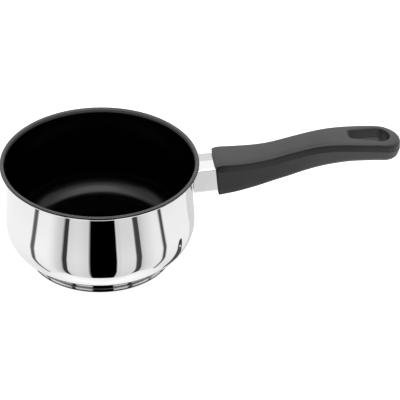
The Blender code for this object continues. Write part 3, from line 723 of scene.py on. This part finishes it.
def wall_radius(height):
    """Radius of the bowl's outer face at a height on its side wall."""
    _, wall, flare, _, _, lean, _ = bowl_arcs()
    if height > wall.y + WALL_BOW_RADIUS * sin(lean):
        return flare.x - sqrt(FLARE_RADIUS ** 2 - (height - flare.y) ** 2)
    return wall.x + sqrt(WALL_BOW_RADIUS ** 2 - (height - wall.y) ** 2)


def make_bowl(steel):
    """The pressed steel bowl with its rolled rim."""
    bowl = turned("bowl", bowl_face(0, CURL_END) + bowl_face(SHEET, CURL_END)[::-1], steel)
    return bowl, "vessel", "polished_steel"


def make_coat(coating):
    """The coat over the bowl's inside and the top of its rim."""
    under = bowl_face(SHEET + COAT_GAP, COAT_END)
    over = bowl_face(SHEET + COAT_GAP + COAT, COAT_END)
    coat = turned("coat", under + over[::-1], coating)
    return coat, "nonstick_lining", "nonstick_coating"


def make_disc(aluminium):
    """The aluminium disc of the base, whose core fits into the cap and whose edge stands over it."""
    core_radius = BASE_RADIUS - CAP_SHEET - GAP
    foot = CAP_SHEET + GAP
    seam = CAP_HEIGHT + GAP
    top = BASE_HEIGHT - GAP
    chamfer = DISC_EDGE_CHAMFER
    section = [Vector((0, foot))]
    core_corner = (core_radius - CAP_EDGE_RADIUS, foot + CAP_EDGE_RADIUS)
    section += arc(core_corner, CAP_EDGE_RADIUS, -QUARTER, 0, CAP_STEPS)
    section += [Vector((core_radius, seam)), Vector((BASE_RADIUS - chamfer, seam))]
    section += arc((BASE_RADIUS - chamfer, seam + chamfer), chamfer, -QUARTER, 0, CAP_STEPS)
    section += arc((BASE_RADIUS - chamfer, top - chamfer), chamfer, 0, QUARTER, CAP_STEPS)
    disc = turned("base_disc", section + [Vector((0, top))], aluminium)
    return disc, "heat_spreader_disc", "aluminium"


def make_cap(steel):
    """The steel cap pressed over the disc's underside."""
    centre = (BASE_RADIUS - CAP_EDGE_RADIUS, CAP_EDGE_RADIUS)
    lip = CAP_SHEET / 2
    outside = [Vector((0, 0))] + arc(centre, CAP_EDGE_RADIUS, -QUARTER, 0, CAP_STEPS)
    rim = arc((BASE_RADIUS - lip, CAP_HEIGHT - lip), lip, 0, pi, CAP_STEPS)
    inner_edge = arc(centre, CAP_EDGE_RADIUS - CAP_SHEET, 0, -QUARTER, CAP_STEPS)
    cap = turned("cap", outside + rim + inner_edge + [Vector((0, CAP_SHEET))], steel)
    return cap, "base_cap", "polished_steel"


def crowned_side(side, half, shoulder, radius, crown):
    """Closes a right-hand side over a rounded top edge and a crown, and mirrors it."""
    lean = atan(2 * crown / half) if crown else 0
    reach = half - radius + radius * sin(lean)
    centre_height = shoulder - crown - radius * cos(lean)
    side = side + arc((half - radius, centre_height), radius, 0, QUARTER - lean, BEND_STEPS)
    for share in between(0, 1, CROWN_STEPS):
        across = reach * (1 - share)
        side.append(Vector((across, shoulder - crown * (across / reach) ** 2)))
    return side + [Vector((-point.x, point.y)) for point in side[-2::-1]]


def box_ring(distance, inset, face_slope=0.0):
    """The flame guard's section, inset on all sides, at a distance from the bowl's axis.

    The guard rises and narrows a little towards the handle."""
    half = GUARD_WIDTH / 2 - inset
    low = GUARD_MID_HEIGHT - GUARD_HEIGHT / 2 + inset
    high = GUARD_MID_HEIGHT + GUARD_HEIGHT / 2 - inset
    bend = max(GUARD_BEND_RADIUS - inset, GAP)
    foot = max(GUARD_FOOT_RADIUS - inset, GAP)
    side = arc((half - foot, low + foot), foot, -QUARTER, 0, BEND_STEPS) + [Vector((half, GUARD_MID_HEIGHT))]
    placed = []
    for point in crowned_side(side, half, high, bend, GUARD_CROWN):
        x = distance - (point.y - GUARD_MID_HEIGHT) * tan(face_slope)
        to_handle = HANDLE_START - x
        y = point.x * (1 + to_handle * tan(GUARD_TAPER) / (GUARD_WIDTH / 2))
        placed.append(Vector((x, y, point.y - to_handle * tan(GUARD_RISE))))
    return placed


def make_guard(steel):
    """The sheet sleeve between bowl and handle, with one end cut to the bowl's wall."""
    inner_end = wall_radius(GUARD_MID_HEIGHT) - GUARD_WIDTH / 2
    outer_end = HANDLE_START - GAP / cos(FACE_SLOPE)
    rings = [
        box_ring(inner_end, 0), box_ring(outer_end, 0, FACE_SLOPE),
        box_ring(outer_end, GUARD_SHEET, FACE_SLOPE), box_ring(inner_end, GUARD_SHEET),
    ]
    guard = lofted("guard", rings, steel, closed_loop=True)
    line = bowl_wall(-GAP)
    top = RIM_HEIGHT + CUTTER_OVERRUN
    cut_out(guard, [turned("bowl_space", line + [Vector((line[-1].x, top)), Vector((0, top))])])
    return guard, "flame_guard", "polished_steel"


def curve_value(shares, station):
    """Reads a smooth curve through a table of (station, value) shares."""
    index = max(i for i in range(len(shares) - 1) if shares[i][0] <= station or i == 0)
    (x0, y0), (x1, y1) = shares[index], shares[index + 1]
    before = shares[max(index - 1, 0)]
    after = shares[min(index + 2, len(shares) - 1)]
    span = x1 - x0
    slope0 = (y1 - before[1]) / (x1 - before[0]) * span
    slope1 = (after[1] - y0) / (after[0] - x0) * span
    t = (station - x0) / span
    return (
        y0 * (2 * t ** 3 - 3 * t ** 2 + 1) + slope0 * (t ** 3 - 2 * t ** 2 + t)
        + y1 * (3 * t ** 2 - 2 * t ** 3) + slope1 * (t ** 3 - t ** 2)
    )


def edge_fall(radius, distance):
    """How far a rounded edge has fallen away at a distance from the end it rounds."""
    return 0 if distance >= radius else radius - sqrt(radius ** 2 - (radius - distance) ** 2)


def front_roll(along):
    """How far the top rolls down towards the front face."""
    return FRONT_ROLL_DROP * max(0, 1 - along / FRONT_ROLL_LENGTH) ** 2


def handle_limits(along):
    """Top height, bottom height and half width of the handle at a distance from its front face."""
    station = along / HANDLE_LENGTH
    top = HANDLE_LEVEL + HANDLE_RISE * curve_value(TOP_LINE_SHARES, station)
    low = HANDLE_LEVEL - HANDLE_DEPTH * curve_value(BOTTOM_LINE_SHARES, station)
    half = HANDLE_WIDTH / 2 * curve_value(WIDTH_SHARES, station)
    return top, low, half


def handle_ring(along):
    """The handle's section: a crowned top, an upright side down to the parting line, and below it a leaning
    side that turns under."""
    station = along / HANDLE_LENGTH
    to_tip = HANDLE_LENGTH - along
    top, low, half = handle_limits(along)
    parting = top - PARTING_DROP
    turn = BOTTOM_EDGE_RADIUS * curve_value(BOTTOM_EDGE_SHARES, station)
    lean = SIDE_LEAN * curve_value(LEAN_SHARES, station)
    tip_share = max(0, 1 - to_tip / TIP_RADIUS)
    front_inset = edge_fall(FRONT_EDGE_RADIUS, along)
    half = half * sqrt(1 - tip_share ** 2) - front_inset
    top -= edge_fall(TOP_EDGE_RADIUS, to_tip) + front_roll(along) + front_inset
    low += edge_fall(turn, to_tip) + front_inset
    upper = min(TOP_EDGE_RADIUS, half * EDGE_LIMIT_SHARE)
    turn = min(turn, half * EDGE_LIMIT_SHARE)
    crown = HANDLE_CROWN * half / (HANDLE_WIDTH / 2)
    turn_end = low + turn - turn * sin(lean)
    turn_x = half - (parting - turn_end) * tan(lean) - turn * cos(lean)
    turned_under = arc((max(turn_x, 0), low + turn), turn, -QUARTER, -lean, BEND_STEPS)
    crease = Vector((half, parting))
    below = Vector((half - PARTING_STEP * tan(lean), parting - PARTING_STEP))
    above = Vector((half, parting + PARTING_STEP))
    shoulder = Vector((half, top - crown - upper))
    side = [Vector((max(turn_x, 0) * share, low)) for share in [0] + between(0, 1, UNDER_STEPS)[:-1]]
    side += turned_under + straight(turned_under[-1], below, SIDE_STEPS) + [crease, above]
    side += straight(above, shoulder, SIDE_STEPS)[:-1]
    face_share = max(0, 1 - along / FACE_BLEND)
    placed = []
    for point in crowned_side(side, half, top, upper, crown)[:-1]:
        face_shift = (point.y - GUARD_MID_HEIGHT) * tan(FACE_SLOPE) * face_share
        tip_shift = max(0, parting - point.y) * tan(TIP_LEAN) * tip_share
        placed.append(Vector((HANDLE_START + along - face_shift - tip_shift, point.x, point.y)))
    return placed


def handle_stations():
    """Distances of the handle's sections from its front face: close together at both rounded ends."""
    body_end = HANDLE_LENGTH - TIP_RADIUS
    angles = [0] + between(0, QUARTER, FRONT_STEPS)
    stations = [FRONT_EDGE_RADIUS * (1 - cos(angle)) for angle in angles]
    stations += between(FRONT_EDGE_RADIUS, FRONT_ROLL_LENGTH, ROLL_STEPS)
    stations += between(FRONT_ROLL_LENGTH, body_end, BODY_STEPS)
    return stations + [body_end + TIP_RADIUS * sin(angle) for angle in between(0, TIP_END_ANGLE, TIP_STEPS)]


def hole_outline(growth):
    """The hanging hole in plan, grown on all sides: narrow towards the pan, round towards the tip."""
    back = Vector((HOLE_CORNER_X - HOLE_WIDE_X, HOLE_CORNER_Y))
    side = atan2(back.y, back.x) - acos((HOLE_WIDE_RADIUS - HOLE_CORNER_RADIUS) / back.length)
    outline = arc((HOLE_WIDE_X, 0), HOLE_WIDE_RADIUS + growth, -side, side, HOLE_ROUND_STEPS)
    centre = (HOLE_CORNER_X, HOLE_CORNER_Y)
    corner = arc(centre, HOLE_CORNER_RADIUS + growth, side, pi, HOLE_CORNER_STEPS)
    return outline + corner + [Vector((point.x, -point.y)) for point in corner[::-1]]


def hole_ring(side, outward, growth):
    """The hole near the upper face (side 1), at the parting line (0) or near the lower face (-1)."""
    ring = []
    for point in hole_outline(growth):
        top, low, half = handle_limits(point.x - HANDLE_START)
        crown = HANDLE_CROWN * half / (HANDLE_WIDTH / 2)
        fall = crown * (point.y / (half - TOP_EDGE_RADIUS)) ** 2
        level = {1: top - fall, 0: top - PARTING_DROP, -1: low}[side]
        ring.append(Vector((point.x, point.y, level + side * outward)))
    return ring


def make_hole_cutter():
    """The hanging hole: drafted both ways from the parting line, with a rounded mouth on each face."""
    angles = [HOLE_EDGE_START] + between(HOLE_EDGE_START, QUARTER, MOUTH_STEPS)
    mouth = [(-HOLE_EDGE * (1 - cos(angle)), HOLE_DRAFT + HOLE_EDGE * (1 - sin(angle))) for angle in angles]
    outward, growth = mouth[0]
    outward += CUTTER_OVERRUN * tan(HOLE_EDGE_START)
    growth += CUTTER_OVERRUN
    mouth = [(outward + CUTTER_OVERRUN, growth), (outward, growth)] + mouth
    rings = [hole_ring(-1, *place) for place in mouth] + [hole_ring(0, 0, 0)]
    rings += [hole_ring(1, *place) for place in mouth[::-1]]
    return lofted("hole_space", rings)


def make_bore_cutter(radius, start, end):
    """A bore on the screw's sloping axis, between two distances from the bracket's web."""
    section = [Vector((0, start)), Vector((radius, start)), Vector((radius, end)), Vector((0, end))]
    bore = turned("bore_space", section, steps=BORE_STEPS)
    place = Matrix.Translation((WEB_DISTANCE, 0, GUARD_MID_HEIGHT))
    bore.data.transform(place @ Matrix.Rotation(QUARTER - SCREW_SLOPE, len(place), 'Y'))
    return bore


def make_handle(surface):
    """The moulded handle with its screw's bores and its hanging hole."""
    reach = (HOLE_CORNER_X - WEB_DISTANCE) / cos(SCREW_SLOPE)
    handle = lofted("handle_grip", [handle_ring(along) for along in handle_stations()], surface)
    cutters = [
        make_hole_cutter(),
        make_bore_cutter(SCREW_RADIUS + GAP, -CUTTER_OVERRUN, SEAT_DISTANCE + CUTTER_OVERRUN),
        make_bore_cutter(SCREW_HEAD_RADIUS + GAP, SEAT_DISTANCE, reach),
    ]
    cut_out(handle, cutters)
    return handle


def make_spigot(surface):
    """The handle's spigot, which goes into the flame guard."""
    clearance = GUARD_SHEET + GAP
    spigot_end = WEB_DISTANCE + GAP / cos(SCREW_SLOPE)
    rings = [box_ring(spigot_end, clearance, SCREW_SLOPE), box_ring(HANDLE_START, clearance, FACE_SLOPE)]
    spigot = lofted("handle_spigot", rings, surface)
    cut_out(spigot, [make_bore_cutter(SCREW_RADIUS + GAP, -WEB_SHEET, SEAT_DISTANCE)])
    return spigot


def make_world():
    """A white room: what the camera sees, and the softer light that falls on the pan."""
    world = bpy.data.worlds.new("studio")
    bpy.context.scene.world = world
    world.use_nodes = True
    tree = world.node_tree
    rays = node(tree, "ShaderNodeLightPath")
    mirrored = math(tree, 'MAXIMUM', rays.outputs["Is Glossy Ray"], rays.outputs["Is Transmission Ray"])
    white = math(tree, 'MAXIMUM', rays.outputs["Is Camera Ray"], mirrored)
    shown = mix(tree, white, grey(ROOM_LIGHT), WHITE)
    tree.links.new(shown, tree.nodes["Background"].inputs["Color"])


def tones_by_turn(tree, turn_share, stops):
    """Greys that follow the azimuth, from (azimuth in degrees, tone) stops."""
    return tones(tree, turn_share, [(radians(angle) / TURN + 1 / 2, tone) for angle, tone in stops])


def make_shade():
    """The dark line where the base meets the table, seen only as a reflection in the cap's lower edge."""
    shape = bmesh.new()
    bmesh.ops.create_circle(shape, cap_ends=True, radius=BASE_RADIUS + SHADE_MARGIN, segments=FLOOR_STEPS)
    surface, tree, output = empty_surface("contact_shade")
    glow = node(tree, "ShaderNodeEmission")
    glow.inputs["Color"].default_value = (*grey(SHADE_TONE), 1.0)
    tree.links.new(glow.outputs["Emission"], output)
    shade = finished("contact_shade", shape, surface)
    shade.location.z = -GAP
    reflected_only(shade)


def reflected_only(thing):
    """Makes a thing of the studio show in reflections alone."""
    for kind in ("camera", "diffuse", "volume_scatter", "shadow"):
        setattr(thing, "visible_" + kind, False)


def mirror_in_board(piece):
    """A piece's image in the glossy board under the pan, which the bowl's lower side reflects.

    Seen through the bare table round the board, the image is clear."""
    image = bpy.data.objects.new(piece.name + "_image", piece.data.copy())
    image.scale.z = -1
    bpy.context.scene.collection.objects.link(image)
    surface = piece.data.materials[0].copy()
    tree = surface.node_tree
    rays = node(tree, "ShaderNodeLightPath")
    clear = node(tree, "ShaderNodeBsdfTransparent")
    blend = node(tree, "ShaderNodeMixShader")
    past_ring = math(tree, 'MINIMUM', rays.outputs["Transparent Depth"], 1.0)
    tree.links.new(past_ring, blend.inputs["Fac"])
    tree.links.new(tree.nodes["Principled BSDF"].outputs["BSDF"], blend.inputs[1])
    tree.links.new(clear.outputs["BSDF"], blend.inputs[2])
    tree.links.new(blend.outputs["Shader"], tree.nodes["Material Output"].inputs["Surface"])
    image.data.materials[0] = surface
    reflected_only(image)


def make_bare_table():
    """The table round the glossy board: a clear ring that takes the handle's image away beyond the board."""
    shape = bmesh.new()
    bmesh.ops.create_circle(shape, radius=BOARD_RADIUS, segments=FLOOR_STEPS)
    outer = bmesh.ops.extrude_edge_only(shape, edges=shape.edges[:])["geom"]
    moved = [item for item in outer if isinstance(item, bmesh.types.BMVert)]
    growth = BARE_TABLE_RADIUS / BOARD_RADIUS
    bmesh.ops.scale(shape, vec=(growth, growth, 1), verts=moved)
    surface, tree, output = empty_surface("bare_table")
    clear = node(tree, "ShaderNodeBsdfTransparent")
    tree.links.new(clear.outputs["BSDF"], output)
    ring = finished("bare_table", shape, surface)
    ring.location.z = -GAP
    reflected_only(ring)


def reflected_sky(tree, place, down):
    """The light above the table: a low and a high sky, a light overhead, a dark ceiling and dark in front."""
    low_tone = spread(tree, place["Y"], FRONT_TONE, LOW_SKY_TONE, FRONT_START, FRONT_END)
    under_sky = spread(tree, down, 0.0, 1.0, -SKY_STEP - SKY_STEP_BLUR, -SKY_STEP + SKY_STEP_BLUR)
    sky = mix(tree, under_sky, grey(SKY_TONE), low_tone)
    added = OVERHEAD_TONE - SKY_TONE
    overhead = spread(tree, down, added, 0.0, -OVERHEAD_STEP - OVERHEAD_BLUR, -OVERHEAD_STEP + OVERHEAD_BLUR)
    aside = math(tree, 'MULTIPLY', place["X"], place["X"])
    near = spread(tree, aside, 1.0, 0.0, OVERHEAD_FADE_START, OVERHEAD_FADE_END)
    overhead = math(tree, 'MULTIPLY', overhead, near)
    behind = math(tree, 'MULTIPLY', place["Y"], sin(CEILING_TILT) / REFLECTOR_RADIUS)
    ceiling = math(tree, 'ADD', math(tree, 'MULTIPLY', down, -cos(CEILING_TILT)), behind)
    inner = CEILING_REACH + CEILING_BLUR
    open_sky = spread(tree, ceiling, 1.0, CEILING_TONE, CEILING_REACH - CEILING_BLUR, inner)
    return math(tree, 'MULTIPLY', math(tree, 'ADD', sky, overhead), open_sky)


def reflected_stripes(tree, place, down):
    """The striped cards below the horizon, and the table where they end."""
    toward = math(tree, 'MULTIPLY', place["Y"], -1.0)
    azimuth = math(tree, 'ARCTAN2', place["X"], toward)
    widening = multiply_add(tree, down, STRIPE_SPREAD, 1 - STRIPE_SPREAD * STRIPE_LEVEL)
    turn_share = multiply_add(tree, math(tree, 'DIVIDE', azimuth, widening), 1 / TURN, 1 / 2)
    stripes = tones_by_turn(tree, turn_share, REFLECTED_TONES)
    fall = multiply_add(tree, down, -TONE_FALL, 1 + TONE_FALL * STRIPE_LEVEL)
    cards = math(tree, 'MULTIPLY', stripes, fall)
    past_end = math(tree, 'SUBTRACT', down, tones_by_turn(tree, turn_share, STRIPE_ENDS))
    table = multiply_add(tree, past_end, TABLE_RISE, TABLE_TONE)
    return mix(tree, spread(tree, past_end, 0.0, 1.0, -STRIPE_END_BLUR, STRIPE_END_BLUR), cards, table)


def make_reflector():
    """A shell of cards and sky round the pan that only its reflections see."""
    shape = bmesh.new()
    bmesh.ops.create_icosphere(shape, subdivisions=REFLECTOR_DETAIL, radius=REFLECTOR_RADIUS)
    surface, tree, output = empty_surface("reflector")
    place = place_in_part(tree)
    down = math(tree, 'DIVIDE', place["Z"], -REFLECTOR_RADIUS)
    sky = reflected_sky(tree, place, down)
    below = reflected_stripes(tree, place, down)
    seen = mix(tree, spread(tree, down, 0.0, 1.0, HORIZON_START, HORIZON_END), sky, below)
    glow = node(tree, "ShaderNodeEmission")
    tree.links.new(seen, glow.inputs["Color"])
    tree.links.new(glow.outputs["Emission"], output)
    shell = finished("reflector", shape, surface)
    shell.location.z = REFLECTOR_HEIGHT
    reflected_only(shell)


def make_floor():
    """A round pale floor that shows white to the camera and keeps the pan's soft shadow."""
    shape = bmesh.new()
    bmesh.ops.create_circle(shape, cap_ends=True, radius=FLOOR_RADIUS, segments=FLOOR_STEPS)
    surface, tree, shader = material("pale_floor", grey(FLOOR_TONE), 0.0, 1.0)
    shader.inputs["Specular IOR Level"].default_value = 0.0
    shader.inputs["Emission Color"].default_value = (*WHITE, 1.0)
    rays = node(tree, "ShaderNodeLightPath")
    glow = math(tree, 'MULTIPLY', rays.outputs["Is Camera Ray"], FLOOR_GLOW)
    tree.links.new(glow, shader.inputs["Emission Strength"])
    floor = finished("floor", shape, surface)
    floor.visible_glossy = False
    floor.visible_transmission = False


def make_lamp():
    """One large soft lamp above, a little to the camera's side."""
    lamp = bpy.data.lights.new("softbox", 'AREA')
    lamp.shape = 'SQUARE'
    lamp.size = LAMP_SIZE
    lamp.energy = LAMP_POWER
    holder = bpy.data.objects.new("softbox", lamp)
    holder.visible_glossy = False
    holder.location = LAMP_PLACE
    holder.rotation_euler = Vector(LAMP_PLACE).to_track_quat('Z', 'Y').to_euler()
    bpy.context.scene.collection.objects.link(holder)


def make_camera():
    """The photograph's viewpoint: from the front, above and a little to the left."""
    back = Vector((sin(VIEW_TURN) * cos(VIEW_HEIGHT), -cos(VIEW_TURN) * cos(VIEW_HEIGHT), sin(VIEW_HEIGHT)))
    right = Vector((cos(VIEW_TURN), sin(VIEW_TURN), 0))
    up = back.cross(right)
    place = Matrix((right, up, back)).transposed().to_4x4()
    place.translation = right * VIEW_SIDE + up * VIEW_LIFT + back * VIEW_DISTANCE
    lens = bpy.data.cameras.new("view")
    lens.lens = LENS
    lens.sensor_width = SENSOR
    camera = bpy.data.objects.new("view", lens)
    camera.matrix_world = place
    bpy.context.scene.collection.objects.link(camera)
    bpy.context.scene.camera = camera


def dress(pieces):
    """Each new piece rides on the pan and stands for its CAD node, which is hidden."""
    for piece, node_name, slot in pieces:
        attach(piece, "root")
        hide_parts(node_name)


def make_pan():
    """All the pieces that show, and plating on the CAD pieces inside."""
    steel = polished_steel()
    plating = plated_steel()
    pieces = [
        make_bowl(steel),
        make_coat(nonstick_coating()),
        make_disc(turned_aluminium()),
        make_cap(brushed_cap()),
        make_guard(steel),
    ]
    black = phenolic()
    handle = make_handle(black)
    spigot = make_spigot(black)
    dress(pieces + [(handle, "handle", "phenolic")])
    mirror_in_board(handle)
    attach(spigot, "root")
    for name in ("handle_bracket", "bracket_nut", "handle_screw", "spring_washer"):
        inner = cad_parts[name]
        inner.data.materials.clear()
        inner.data.materials.append(plating)


def main():
    """Builds the scene: camera, studio, lamp and the pan."""
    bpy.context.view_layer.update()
    bpy.context.scene.view_settings.view_transform = 'Standard'
    make_camera()
    make_world()
    make_reflector()
    make_shade()
    make_bare_table()
    make_floor()
    make_lamp()
    make_pan()


main()
